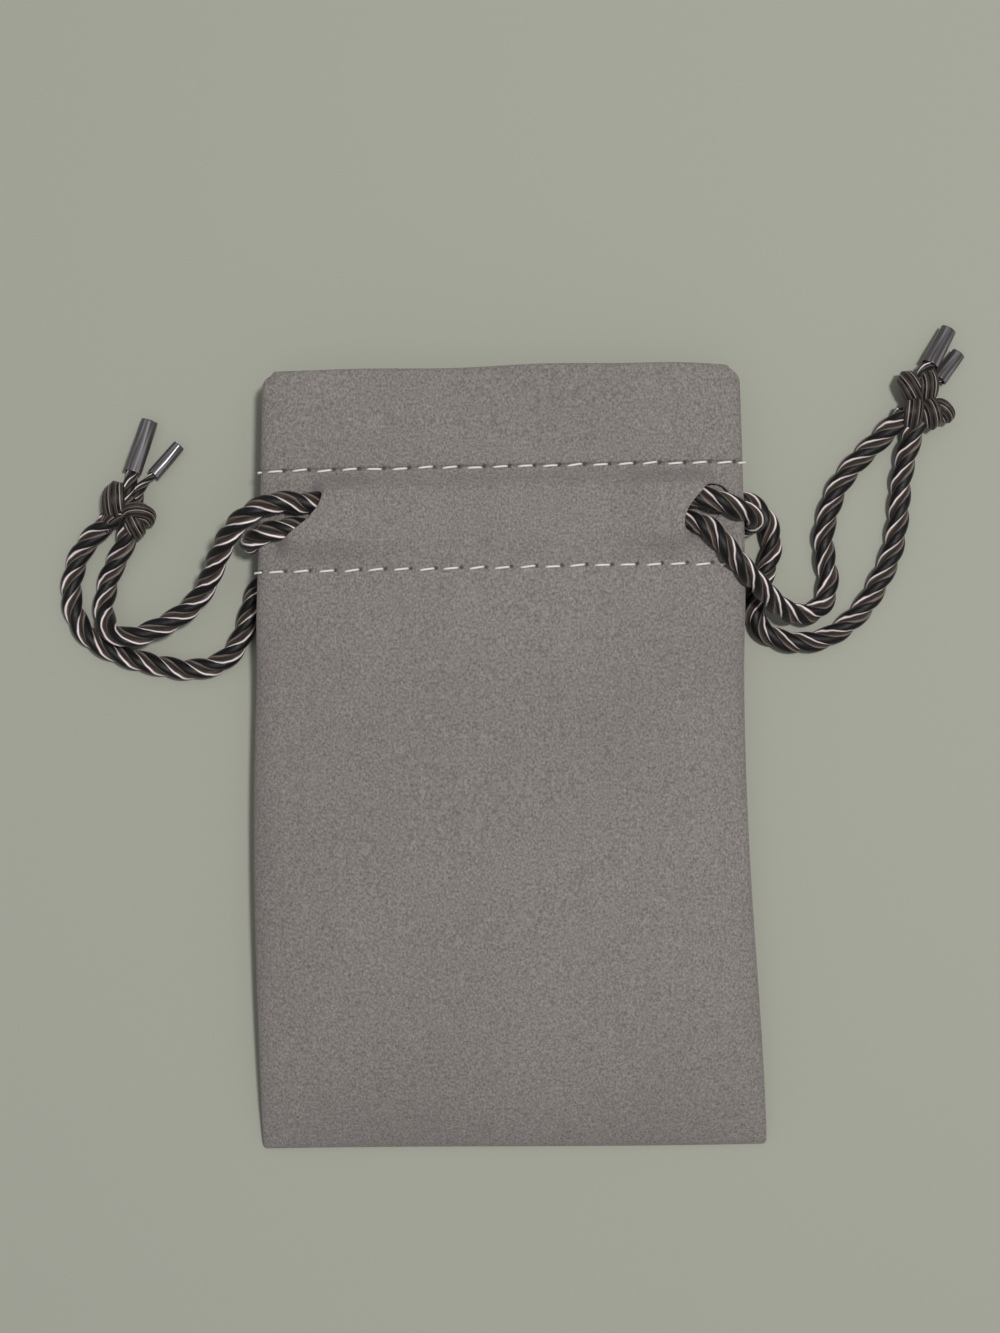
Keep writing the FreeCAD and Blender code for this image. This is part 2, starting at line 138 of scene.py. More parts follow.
# %% The smooth line through a route
def smooth_line(points, step=0.3 * MM):
    """Points spaced evenly by about `step` along the order-3 NURBS spline of a route."""
    curve = bpy.data.curves.new("route", "CURVE")
    curve.dimensions = "3D"
    curve.resolution_u = 24
    spline = curve.splines.new("NURBS")
    spline.points.add(len(points) - 1)
    spline.points.foreach_set("co", [v for p in points for v in (*p, 1.0)])
    spline.order_u = 3
    spline.use_endpoint_u = True
    holder = bpy.data.objects.new("route", curve)
    mesh = bpy.data.meshes.new_from_object(holder)
    dense = np.empty(len(mesh.vertices) * 3)
    mesh.vertices.foreach_get("co", dense)
    dense = dense.reshape(-1, 3)
    bpy.data.objects.remove(holder)
    bpy.data.meshes.remove(mesh)
    bpy.data.curves.remove(curve)
    along = np.concatenate([[0], np.cumsum(np.linalg.norm(np.diff(dense, axis=0), axis=1))])
    even = np.linspace(0, along[-1], max(8, int(along[-1] / step)))
    return np.stack([np.interp(even, along, dense[:, k]) for k in range(3)], 1), even


def unit(rows):
    """Each row divided by its own length."""
    return rows / np.linalg.norm(rows, axis=-1, keepdims=True)


def frames_along(line):
    """Tangent, normal and binormal at each point, the normal carried along without twist."""
    tangent = unit(np.gradient(line, axis=0))
    normal = np.empty_like(tangent)
    start = np.cross(tangent[0], (0, 0, 1.0))
    if np.linalg.norm(start) < 0.1:
        start = np.cross(tangent[0], (0, 1.0, 0))
    normal[0] = start / np.linalg.norm(start)
    for i in range(1, len(line)):
        carried = normal[i - 1] - tangent[i] * np.dot(normal[i - 1], tangent[i])
        normal[i] = carried / np.linalg.norm(carried)
    return tangent, normal, np.cross(tangent, normal)


# %% [markdown]
# Most pieces here are surfaces on a grid of rows and columns. One helper turns a grid of points
# into a mesh with a UV map: rows run along the piece, columns across or around it.

# %% A grid of points made into a mesh
def grid_faces(rows, columns, around=False):
    """Quads of a rows x columns grid, each as (a, a+1, next row +1, next row)."""
    r, c = np.meshgrid(np.arange(rows - 1), np.arange(columns - 1 + around), indexing="ij")
    right = (c + 1) % columns
    quads = np.stack([r * columns + c, r * columns + right, (r + 1) * columns + right,
                      (r + 1) * columns + c], -1)
    return quads.reshape(-1, 4)


def add_mesh(name, points, faces, corner_uv=None):
    """A smooth mesh object at the origin from arrays of points, faces and corner UVs."""
    mesh = bpy.data.meshes.new(name)
    mesh.from_pydata(points.reshape(-1, 3), [], faces if isinstance(faces, list) else faces.tolist())
    if corner_uv is not None:
        mesh.uv_layers.new(name="UVMap").data.foreach_set("uv", corner_uv.astype(np.float32).ravel())
    mesh.polygons.foreach_set("use_smooth", np.full(len(mesh.polygons), True))
    mesh.update()
    piece = bpy.data.objects.new(name, mesh)
    bpy.context.scene.collection.objects.link(piece)
    return piece


def corner_uv(places, columns):
    """UVs of a closed ring's grid: once round it along u, the rows' own places along v."""
    r, c = np.meshgrid(np.arange(len(places) - 1), np.arange(columns), indexing="ij")
    u = np.stack([c, c + 1, c + 1, c], -1) / columns
    v = np.stack([places[r], places[r], places[r + 1], places[r + 1]], -1)
    return np.stack([u, v], -1).reshape(-1, 4, 2)


# %% [markdown]
# A laid rope is three helices. Each strand's centre circles the cord's line once per lay, and the
# strand's own round section stands square to its slanted run. The UV map keeps, across, the angle
# round the strand counted from the cord's outside, and along, the distance run, so the finish can
# put one pale yarn, painted bright as the satin's highlight, along each strand's edge.

# %% Laying three strands round a line
LAY = 11.2 * MM
SECTION = 18


def rope_points(line, along, diameter, lay=LAY, turn=0.0, taper=None):
    """Strand surfaces as an array (3 strands, steps, section, xyz).

    centre = line + h (cos t N + sin t B) with t = 2 pi s / lay + 120 degrees x strand,
    surface = centre + r (cos a E + sin a F), E outwards and F square to the strand's run,
    with r = 0.46 and h = 0.54 of the cord's radius, uneven by a few hundredths.
    """
    _, normal, binormal = frames_along(line)
    tangent = unit(np.gradient(line, axis=0))
    size = np.full(len(line), diameter / 2) if taper is None else taper * diameter / 2
    h = (0.54 * size)[None, :, None]
    strand = np.arange(3)[:, None]
    uneven = 1 + 0.035 * np.sin(2 * np.pi * along / (4.3 * MM) + 2.1 * strand + turn)
    r = (0.46 * size * uneven)[..., None, None]
    angle = 2 * np.pi * along / lay + turn + np.arange(3)[:, None] * 2 * np.pi / 3
    out = np.cos(angle)[..., None] * normal + np.sin(angle)[..., None] * binormal
    ahead = -np.sin(angle)[..., None] * normal + np.cos(angle)[..., None] * binormal
    run = unit(tangent + 2 * np.pi * h / lay * ahead)
    side = np.cross(run, out)
    round_it = np.linspace(-np.pi, np.pi, SECTION, endpoint=False)[:, None]
    # the outer face is a little flatter than a circle, as pressed strands are
    flat = 1 - 0.05 * np.cos(round_it) ** 2
    ring = np.cos(round_it) * out[:, :, None] * flat + np.sin(round_it) * side[:, :, None]
    return (line + h * out)[:, :, None] + r * ring


def rope(name, line, along, diameter, **how):
    """One mesh of three closed strands, with UVs for the yarn pattern."""
    points = rope_points(line, along, diameter, **how)
    strands, steps, ring, _ = points.shape
    quads = grid_faces(steps, ring, around=True)
    shift = np.arange(strands)[:, None, None] * steps * ring
    faces = (quads[None, :, ::-1] + shift).reshape(-1, 4)
    uv = corner_uv(along / LAY, ring)[:, ::-1]
    uv = np.concatenate([uv + [0, 0.37 * k] for k in range(strands)])
    ends = []
    for k in range(strands):
        first = np.arange(ring) + k * steps * ring
        ends.append(first.tolist())
        ends.append((first + (steps - 1) * ring)[::-1].tolist())
    cap_uv = np.full((len(ends) * ring, 2), 0.5)
    return add_mesh(name, points, faces.tolist() + ends,
                    np.concatenate([uv.reshape(-1, 2), cap_uv]))


# %% [markdown]
# Materials come next, so that each piece can take its own as it is made. The suede is a matt
# cloth with a fine nap: small soft blotches, a faint grain along Y, a few dark flecks, and tiny
# bumps. Sheen gives the pale edge that brushed fibres show at a low angle.

# %% Helpers for shader nodes
def new_material(name):
    """A material with its node tree, its shader and a short way to add nodes and links."""
    material = bpy.data.materials.new(name)
    material.use_nodes = True
    tree = material.node_tree
    shader = tree.nodes["Principled BSDF"]

    def node(kind, inputs=(), **settings):
        """One shader node, its settings, and its inputs as values or as links."""
        made = tree.nodes.new(kind)
        for key, value in settings.items():
            setattr(made, key, value)
        for socket, value in dict(inputs).items():
            if isinstance(value, bpy.types.NodeSocket):
                tree.links.new(value, made.inputs[socket])
            else:
                made.inputs[socket].default_value = value
        return made

    return material, tree, shader, node


def srgb(r, g, b):
    """A display colour from 0 to 255 as linear RGBA."""
    c = np.array([r, g, b]) / 255
    c = np.where(c <= 0.04045, c / 12.92, ((c + 0.055) / 1.055) ** 2.4)
    return (*c.tolist(), 1.0)


def ramp(node, factor, stops):
    """A colour ramp from [(place, colour), ...]."""
    made = node("ShaderNodeValToRGB", {"Fac": factor})
    points = made.color_ramp.elements
    while len(points) < len(stops):
        points.new(0.5)
    for point, (place, colour) in zip(points, stops):
        point.position = place
        point.color = colour
    return made.outputs["Color"]


# %% [markdown]
# The needle holes are too small to model, so the shade in them is painted as small dark dots in the
# suede's colour. Their place follows from the stitches: one at the right end of each stitch, on each
# row.

# %% Suede
STITCH_ROWS = (0.0416, 0.0275)
STITCH_PITCH = 0.0035
HOLE_PHASE = 0.5 - 1.3 / 3.5      # a hole stands 1.3 mm right of each stitch's middle
HOLE_DROP = 0.0001                # and this far above the row's line
DOT_CORE, DOT_RIM = 0.00016, 0.00042


def needle_hole_shade(node, place):
    """1 on plain cloth, 0.35 of painted shade in the needle holes at the right end of each stitch.

    Distance = sqrt(dx^2 + dy^2), dx from the nearest hole and dy from the nearer row.
    """
    parts = node("ShaderNodeSeparateXYZ", {"Vector": place})

    def math_node(operation, *inputs):
        """The result of one sum."""
        return node("ShaderNodeMath", dict(enumerate(inputs)), operation=operation).outputs[0]

    turns = math_node("MULTIPLY_ADD", parts.outputs["X"], 1 / STITCH_PITCH, HOLE_PHASE)
    dx = math_node("MULTIPLY", math_node("SUBTRACT", math_node("FRACT", turns), 0.5),
                   STITCH_PITCH)
    rows = [math_node("ABSOLUTE", math_node("SUBTRACT", parts.outputs["Y"], row + HOLE_DROP))
            for row in STITCH_ROWS]
    dy = math_node("MINIMUM", *rows)
    squares = math_node("ADD", math_node("MULTIPLY", dx, dx), math_node("MULTIPLY", dy, dy))
    near = math_node("SQRT", squares)
    return node("ShaderNodeMapRange", {"Value": near, "From Min": DOT_CORE, "From Max": DOT_RIM,
                                       "To Min": 0.35, "To Max": 1.0}).outputs[0]


def suede_material():
    """Napped suede: mottled colour, grain, flecks and a fine fibrous bump."""
    material, tree, shader, node = new_material("suede")
    place = node("ShaderNodeTexCoord").outputs["Object"]
    stretched = node("ShaderNodeMapping", {"Vector": place, "Scale": (1.0, 0.8, 1.0)})
    mottle = node("ShaderNodeTexNoise", {"Vector": stretched.outputs[0], "Scale": 3300.0,
                                         "Detail": 3.0, "Roughness": 0.7})
    patches = node("ShaderNodeTexNoise", {"Vector": place, "Scale": 38.0, "Detail": 2.0})
    grain_place = node("ShaderNodeMapping", {"Vector": place, "Scale": (1.0, 0.06, 1.0)})
    grain = node("ShaderNodeTexNoise", {"Vector": grain_place.outputs[0], "Scale": 620.0,
                                        "Detail": 2.0})
    base = ramp(node, mottle.outputs["Fac"], [
        (0.32, srgb(93, 87, 84)), (0.50, srgb(119, 113, 109)), (0.70, srgb(141, 135, 130))])
    soft = node("ShaderNodeMapRange", {"Value": patches.outputs["Fac"], "From Min": 0.3,
                                       "From Max": 0.7, "To Min": 0.955, "To Max": 1.035})
    lines = node("ShaderNodeMapRange", {"Value": grain.outputs["Fac"], "From Min": 0.3,
                                        "From Max": 0.7, "To Min": 0.975, "To Max": 1.02})
    both = node("ShaderNodeMath", {0: soft.outputs[0], 1: lines.outputs[0]}, operation="MULTIPLY")
    flecks = node("ShaderNodeTexVoronoi", {"Vector": stretched.outputs[0], "Scale": 430.0})
    fleck = node("ShaderNodeMapRange", {"Value": flecks.outputs["Distance"], "From Min": 0.04,
                                        "From Max": 0.16, "To Min": 0.74, "To Max": 1.0})
    rare = node("ShaderNodeTexNoise", {"Vector": place, "Scale": 210.0, "Detail": 1.0})
    where = node("ShaderNodeMapRange", {"Value": rare.outputs["Fac"], "From Min": 0.50,
                                        "From Max": 0.62, "To Min": 1.0, "To Max": 0.0})
    kept = node("ShaderNodeMix", {0: where.outputs[0], 2: fleck.outputs[0], 3: 1.0})
    # the flecks are random dark tone in the suede; the needle-hole dots multiplied in are painted
    # shade
    flecks_and_hole_shade = node("ShaderNodeMath", {0: kept.outputs[0], 1: needle_hole_shade(node, place)},
                   operation="MULTIPLY")
    shade = node("ShaderNodeMath", {0: both.outputs[0], 1: flecks_and_hole_shade.outputs[0]},
                 operation="MULTIPLY")
    scaled = node("ShaderNodeVectorMath", {0: base, "Scale": shade.outputs[0]}, operation="SCALE")
    tree.links.new(scaled.outputs[0], shader.inputs["Base Color"])
    nap = node("ShaderNodeTexNoise", {"Vector": stretched.outputs[0], "Scale": 2300.0,
                                      "Detail": 3.0, "Roughness": 0.7})
    height = node("ShaderNodeMath", {0: nap.outputs["Fac"], 1: mottle.outputs["Fac"]},
                  operation="ADD")
    bump = node("ShaderNodeBump", {"Height": height.outputs[0], "Strength": 0.55,
                                   "Distance": 0.00016})
    tree.links.new(bump.outputs[0], shader.inputs["Normal"])
    shader.inputs["Roughness"].default_value = 0.95
    shader.inputs["Specular IOR Level"].default_value = 0.18
    shader.inputs["Sheen Weight"].default_value = 0.25
    shader.inputs["Sheen Roughness"].default_value = 0.5
    shader.inputs["Sheen Tint"].default_value = srgb(202, 196, 192)
    return material


SUEDE = suede_material()


# %% [markdown]
# The cord is rayon satin: near-black yarns with a brown one beside them, and a single pale yarn
# along the edge of each strand, painted bright as the satin's highlight there, with a fainter grey
# line of painted highlight at the black's other edge. The colour is read across the strand from the
# UV map, and long thin streaks break it into filaments; the lightest streaks carry painted glints.

# %% Satin cord
def satin_material(name, pale):
    """Black, brown and pale stripes with painted highlight, filament streaks, painted glints and a
    satin gloss.
    """
    material, tree, shader, node = new_material(name)
    uv = node("ShaderNodeUVMap", uv_map="UVMap").outputs[0]
    wide = node("ShaderNodeMapping", {"Vector": uv, "Scale": (1.4, 2.2, 1.0)})
    drift = node("ShaderNodeTexNoise", {"Vector": wide.outputs[0], "Scale": 1.6, "Detail": 2.0})
    turns = node("ShaderNodeSeparateXYZ", {"Vector": uv}).outputs["X"]
    across = node("ShaderNodeMath", {0: turns}, operation="FRACT").outputs[0]
    nudge = node("ShaderNodeMapRange", {"Value": drift.outputs["Fac"], "From Min": 0.25,
                                        "From Max": 0.75, "To Min": -0.05, "To Max": 0.05})
    moved = node("ShaderNodeMath", {0: across, 1: nudge.outputs[0]}, operation="ADD")
    black = srgb(11, 8, 7)
    brown = srgb(57, 49, 40)
    grey = srgb(104, 93, 88)
    # the grey line at 0.30 and the grey-pale-grey stripe at 0.63 to 0.70 are painted highlight along
    # the strand's edges
    yarn_stripes_and_highlight = ramp(node, moved.outputs[0], [
        (0.00, black), (0.14, brown), (0.27, brown), (0.30, grey), (0.325, grey),
        (0.35, black), (0.61, black), (0.63, grey), (0.65, pale), (0.68, pale),
        (0.70, grey), (0.73, brown), (0.86, brown), (0.96, black), (1.00, black)])
    thin = node("ShaderNodeMapping", {"Vector": uv, "Scale": (46.0, 3.2, 1.0)})
    streaks = node("ShaderNodeTexNoise", {"Vector": thin.outputs[0], "Scale": 1.0, "Detail": 3.0,
                                          "Roughness": 0.6})
    strength = node("ShaderNodeMapRange", {"Value": streaks.outputs["Fac"], "From Min": 0.3,
                                           "From Max": 0.7, "To Min": 0.62, "To Max": 1.38})
    tinted = node("ShaderNodeVectorMath", {0: yarn_stripes_and_highlight, "Scale": strength.outputs[0]},
                  operation="SCALE")
    # glint: painted highlight lifted onto the lightest filament streaks
    glint = node("ShaderNodeMapRange", {"Value": streaks.outputs["Fac"], "From Min": 0.60,
                                        "From Max": 0.74, "To Min": 0.0, "To Max": 0.07})
    lifted = node("ShaderNodeMix", {0: glint.outputs[0], 6: tinted.outputs[0],
                                    7: srgb(168, 150, 148)}, data_type="RGBA")
    tree.links.new(lifted.outputs[2], shader.inputs["Base Color"])
    bump = node("ShaderNodeBump", {"Height": streaks.outputs["Fac"], "Strength": 0.5,
                                   "Distance": 0.00012})
    tree.links.new(bump.outputs[0], shader.inputs["Normal"])
    shader.inputs["Roughness"].default_value = 0.40
    shader.inputs["Specular IOR Level"].default_value = 0.20
    shader.inputs["Sheen Weight"].default_value = 0.08
    return material


# the pale colour is the painted highlight; the knot's copy paints it dimmer
SATIN = satin_material("satin_cord", srgb(220, 206, 207))
KNOT_SATIN = satin_material("satin_knot", srgb(166, 152, 151))


# %% [markdown]
# Sewing thread is a tight two-ply twist, so its finish is off-white with slanting shade lines.
# The film on the cord ends is a thin grey plastic, glossy and slightly clear.

# %% Thread and film
def thread_material():
    """Off-white thread with fine slanting lines."""
    material, tree, shader, node = new_material("sewing_thread")
    uv = node("ShaderNodeUVMap", uv_map="UVMap").outputs[0]
    waves = node("ShaderNodeTexWave", {"Vector": uv, "Scale": 2.4, "Distortion": 0.4},
                 bands_direction="DIAGONAL")
    colour = ramp(node, waves.outputs["Fac"], [(0.0, srgb(186, 178, 172)),
                                               (1.0, srgb(236, 231, 226))])
    tree.links.new(colour, shader.inputs["Base Color"])
    bump = node("ShaderNodeBump", {"Height": waves.outputs["Fac"], "Strength": 0.4,
                                   "Distance": 0.00005})
    tree.links.new(bump.outputs[0], shader.inputs["Normal"])
    shader.inputs["Roughness"].default_value = 0.55
    shader.inputs["Sheen Weight"].default_value = 0.2
    return material


def film_material():
    """Hazy grey film: smooth, glossy, a little see-through."""
    material, tree, shader, node = new_material("tip_film")
    uv = node("ShaderNodeUVMap", uv_map="UVMap").outputs[0]
    long = node("ShaderNodeMapping", {"Vector": uv, "Scale": (11.0, 0.5, 1.0)})
    haze = node("ShaderNodeTexNoise", {"Vector": long.outputs[0], "Scale": 1.0, "Detail": 3.0})
    colour = ramp(node, haze.outputs["Fac"], [
        (0.32, srgb(34, 30, 31)), (0.50, srgb(70, 64, 66)), (0.60, srgb(116, 110, 113)),
        (0.72, srgb(150, 144, 147))])
    tree.links.new(colour, shader.inputs["Base Color"])
    bump = node("ShaderNodeBump", {"Height": haze.outputs["Fac"], "Strength": 0.2,
                                   "Distance": 0.0001})
    tree.links.new(bump.outputs[0], shader.inputs["Normal"])
    shader.inputs["Roughness"].default_value = 0.33
    shader.inputs["Coat Weight"].default_value = 0.7
    shader.inputs["Coat Roughness"].default_value = 0.2
    shader.inputs["Alpha"].default_value = 0.85
    return material


THREAD = thread_material()
FILM = film_material()
print("materials", [m.name for m in (SUEDE, SATIN, THREAD, FILM)])

# %% [markdown]
# Now the cords are laid. A leg leaves a hole, loops beside the pouch and runs into its knot.

# %% Legs and outside loops
CORD = 3.2 * MM


def lay_cord(name, route, turn):
    """A rope along a route: the piece, its line and its measured length."""
    line, along = smooth_line(route)
    piece = rope(name, line, along, CORD, turn=turn)
    piece.data.materials.append(SATIN)
    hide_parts(name)
    print(f"{name}: {along[-1] / MM:.1f} mm")
    return piece, line, float(along[-1])


laid = {}
for cord_name, cord_route, cord_turn in (
    ("left_cord_front_leg", LEFT_FRONT_LEG, 0.4), ("left_cord_back_leg", LEFT_BACK_LEG, 1.3),
    ("right_cord_front_leg", RIGHT_FRONT_LEG, 2.0), ("right_cord_back_leg", RIGHT_BACK_LEG, 0.2),
    ("right_cord_left_loop", LEFT_LOOP, 1.0), ("left_cord_right_loop", RIGHT_LOOP, 2.6),
):
    laid[cord_name] = lay_cord(cord_name, cord_route, cord_turn)

# %% [markdown]
# Inside the channel each cord runs straight from hole to hole. Two cords and four layers of cloth
# share that space, so the cloth presses the cords flat in the middle. They are made as round
# ropes and their points are then moved towards the inner side.

# %% Straight stretches inside the channels
SQUEEZED = 0.62                   # height kept in the middle of the channel
SQUEEZE_END, SQUEEZE_EASE = 14, 8.5


def squeeze_run(run, centre, up):
    """Flattens a hidden stretch in the middle, easing to full height at its ends.

    kept = s + (1 - s) (3 t^2 - 2 t^3), t from 0 at 14 mm from the middle to 1 at 22.5 mm.
    """
    co = np.empty(len(run.data.vertices) * 3)
    run.data.vertices.foreach_get("co", co)
    co = co.reshape(-1, 3)
    base = centre - up * CORD / 2
    t = np.clip((np.abs(co[:, 0]) / MM - SQUEEZE_END) / SQUEEZE_EASE, 0, 1)
    kept = SQUEEZED + (1 - SQUEEZED) * t * t * (3 - 2 * t)
    co[:, 2] = base + (co[:, 2] - base) * kept
    run.data.vertices.foreach_set("co", co.ravel())


for side in ("left", "right"):
    for face in ("front", "back"):
        node_name = f"{side}_cord_{face}_run"
        low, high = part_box(node_name)
        middle = (np.array(low) + np.array(high)) / 2
        ends = np.linspace((low[0], *middle[1:]), (high[0], *middle[1:]), 160)
        run = rope(node_name + "_rope", ends, ends[:, 0] - ends[0, 0], CORD * 0.97)
        squeeze_run(run, middle[2], 1 if face == "front" else -1)
        run.data.materials.append(SATIN)
        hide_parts(node_name)
        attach(run, "root")
        print(f"{node_name}: {(high[0] - low[0]) / MM:.1f} mm")

# %% [markdown]
# Each knot is the cord's two ends tied together in one overhand knot and pulled tight. What
# shows is its tight outer turns, which meet in a dark middle. Each turn comes up from the
# middle, bends over and tucks under, and its yarns are squeezed side by side into one lobe.

# %% Knots
LEFT_KNOT_TURNS = [
    (3.7, [(-0.0553, 0.0360, 0.0022), (-0.0553, 0.0372, 0.0035), (-0.0551, 0.0388, 0.0039),
           (-0.0549, 0.0402, 0.0030), (-0.0548, 0.0404, 0.0020)]),
    (2.9, [(-0.0541, 0.0362, 0.0026), (-0.0532, 0.0370, 0.0038), (-0.0516, 0.0370, 0.0041),
           (-0.0503, 0.0362, 0.0032), (-0.0506, 0.0350, 0.0022)]),
    (3.1, [(-0.0530, 0.0368, 0.0026), (-0.0525, 0.0354, 0.0040), (-0.0521, 0.0342, 0.0033),
           (-0.0523, 0.0336, 0.0022)]),
    (2.5, [(-0.0538, 0.0366, 0.0030), (-0.0553, 0.0364, 0.0037), (-0.0564, 0.0354, 0.0031),
           (-0.0562, 0.0341, 0.0022)]),
]
RIGHT_KNOT_TURNS = [
    (3.3, [(0.0596, 0.0506, 0.0022), (0.0592, 0.0514, 0.0037), (0.0587, 0.0526, 0.0040),
           (0.0583, 0.0537, 0.0031), (0.0585, 0.0537, 0.0021)]),
    (3.2, [(0.0610, 0.0507, 0.0022), (0.0612, 0.0516, 0.0038), (0.0614, 0.0529, 0.0040),
           (0.0613, 0.0540, 0.0030), (0.0611, 0.0539, 0.0021)]),
    (3.3, [(0.0597, 0.0504, 0.0022), (0.0593, 0.0496, 0.0038), (0.0590, 0.0484, 0.0040),
           (0.0588, 0.0474, 0.0029), (0.0590, 0.0475, 0.0021)]),
    (3.3, [(0.0612, 0.0503, 0.0022), (0.0616, 0.0494, 0.0038), (0.0618, 0.0483, 0.0040),
           (0.0618, 0.0473, 0.0029), (0.0616, 0.0475, 0.0021)]),
    (2.8, [(0.0622, 0.0501, 0.0024), (0.0633, 0.0495, 0.0034), (0.0641, 0.0484, 0.0030),
           (0.0640, 0.0475, 0.0021)]),
]


BUNDLES = 6
YARN_TURN = 190                   # radians per metre that the bundles turn along a knot's lobe
GROOVE = 0.13


def knot_turn(name, diameter, route):
    """One tight turn: a tube of six pressed yarn bundles that run nearly along it.

    radius = R (1 - 0.13 |sin(3 a)|), a turned slowly along the way, and closed at both ends.
    """
    line, along = smooth_line(route, step=0.14 * MM)
    _, normal, binormal = frames_along(line)
    a = np.linspace(0, 2 * np.pi, 60, endpoint=False)[None, :]
    share = 2 * along / along[-1] - 1
    swell = np.sqrt(np.clip(1 - np.abs(share) ** 3.2, 0.0008, 1))[:, None]
    turned = a + YARN_TURN * along[:, None]
    grooves = 1 - GROOVE * np.abs(np.sin(BUNDLES / 2 * turned))
    radius = diameter / 2 * MM * swell * grooves
    points = (line[:, None] + (radius * np.cos(a))[..., None] * normal[:, None]
              + (radius * np.sin(a))[..., None] * binormal[:, None])
    rows, columns = len(line), a.size
    uv = corner_uv(along, columns)
    yarn_shift = YARN_TURN * BUNDLES / (2 * np.pi)
    uv[..., 0] = uv[..., 0] * BUNDLES + uv[..., 1] * yarn_shift
    uv[..., 1] /= LAY
    return add_mesh(name, points, grid_faces(rows, columns, around=True), uv)


def tie_knot(name, turns, body):
    """All the turns of a knot joined into one piece."""
    pieces = [knot_turn(f"{name}_{number}", *turn) for number, turn in enumerate(turns)]
    with bpy.context.temp_override(active_object=pieces[0], selected_editable_objects=pieces,
                                   object=pieces[0], selected_objects=pieces):
        bpy.ops.object.join()
    knot = pieces[0]
    knot.name = name + "_tied"
    knot.data.materials.append(KNOT_SATIN)
    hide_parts(name)
    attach(knot, body)
    return knot


knots = {
    "left": tie_knot("left_knot", LEFT_KNOT_TURNS, "left_knot"),
    "right": tie_knot("right_knot", RIGHT_KNOT_TURNS, "right_knot"),
}
print("knot points", {side: len(knot.data.vertices) for side, knot in knots.items()})

# %% [markdown]
# Past the knot the cord's cut ends are wrapped in clear film so that they can't unravel. The
# film is a thin sleeve, a little flattened and creased, with an open rim past the cut cord.

# %% Cut ends and film tips
FILM_SHARE = 0.82                 # the creased film is slimmer than its round stand-in
FILM_WALL = 0.16 * MM
ROD_SHORT = 0.9 * MM              # the cut cord stops this far inside the film's open rim
END_SIZE = 0.9                    # a cut end is drawn thinner
END_LAY = 0.62                    # and twisted tighter than the loose cord


def cut_end_and_film(side, number, start, joint):
    """A short end of rope from the knot into a sleeve of film, which its CAD nodes place."""
    rod = f"{side}_cord_end_{number}"
    tube = f"{side}_end_film_{number}"
    co = np.empty(len(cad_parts[tube].data.vertices) * 3)
    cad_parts[tube].data.vertices.foreach_get("co", co)
    co = co.reshape(-1, 3)
    centre = co.mean(0)
    way = np.linalg.svd(co - centre)[2][0]
    way = way if np.dot(way, centre - np.array(start)) > 0 else -way
    reach = (co - centre) @ way
    foot = centre + way * reach.min()
    mouth = centre + way * reach.max()
    radius = FILM_SHARE * np.linalg.norm((co - centre) - reach[:, None] * way, axis=1).max()
    route = [start, joint, tuple(foot), tuple((foot + mouth) / 2), tuple(mouth - way * ROD_SHORT)]
    line, along = smooth_line(route, step=0.2 * MM)
    share = along / along[-1]
    squeeze = 1 - (1 - radius * 1.6 / CORD) * np.clip(share * 2.2, 0, 1)
    end = rope(rod + "_rope", line, along, CORD * END_SIZE, lay=END_LAY * LAY, taper=squeeze,
               turn=0.7)
    end.data.materials.append(SATIN)
    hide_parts(rod)
    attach(end, f"{side}_knot")

    s = np.linspace(0, 1, 40)[:, None]
    a = np.linspace(0, 2 * np.pi, 32, endpoint=False)[None, :]
    up = np.array([0, 0, 1.0])
    across = unit(np.cross(way, up))
    over = np.cross(across, way)
    crease = 1 + 0.03 * np.sin(2 * a + 3 * s) + 0.012 * np.sin(5 * a - 6 * s)
    wide = radius * (1.04 - 0.12 * s) * crease
    spine = foot + (mouth - foot) * s[..., None]
    skin = (spine + (wide * np.cos(a))[..., None] * across
            + (wide * 0.93 * np.sin(a))[..., None] * over)
    rows, columns = s.size, a.size
    film = add_mesh(tube + "_sleeve", skin, grid_faces(rows, columns, around=True),
                    corner_uv(np.arange(rows) / rows, columns))
    wall = film.modifiers.new("wall", "SOLIDIFY")
    wall.thickness = FILM_WALL
    wall.offset = -1
    film.data.materials.append(FILM)
    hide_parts(tube)
    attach(film, f"{side}_knot")
    return [end, film]


tips = {
    "left": cut_end_and_film("left", 1, (-0.0533, 0.0376, 0.0032), (-0.0530, 0.0402, 0.0036))
    + cut_end_and_film("left", 2, (-0.0526, 0.0372, 0.0030), (-0.0519, 0.0402, 0.0032)),
    "right": cut_end_and_film("right", 1, (0.0602, 0.0524, 0.0034), (0.0608, 0.0545, 0.0036))
    + cut_end_and_film("right", 2, (0.0614, 0.0512, 0.0028), (0.0625, 0.0535, 0.0028)),
}

# %% [markdown]
# The legs stretch between the pouch and their knot, and their placement is baked into their meshes;
# the loops are attached to the pouch.


for side, sign, knot_edge in (("left", -1, 0.0525), ("right", 1, 0.0575)):
    for face in ("front", "back"):
        piece, line, length = laid[f"{side}_cord_{face}_leg"]
        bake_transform(piece)
for loop_name in ("right_cord_left_loop", "left_cord_right_loop"):
    piece, line, length = laid[loop_name]
    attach(piece, "root")

# %% [markdown]
# The pouch is two sheets of suede. Seen from above each is nearly a rectangle, a little wider at
# the bottom, and in section it is a flattened pillow: a superellipse, flat on top and rounding
# down to the side fold. Both sheets end on the same line at the sides, so they meet.

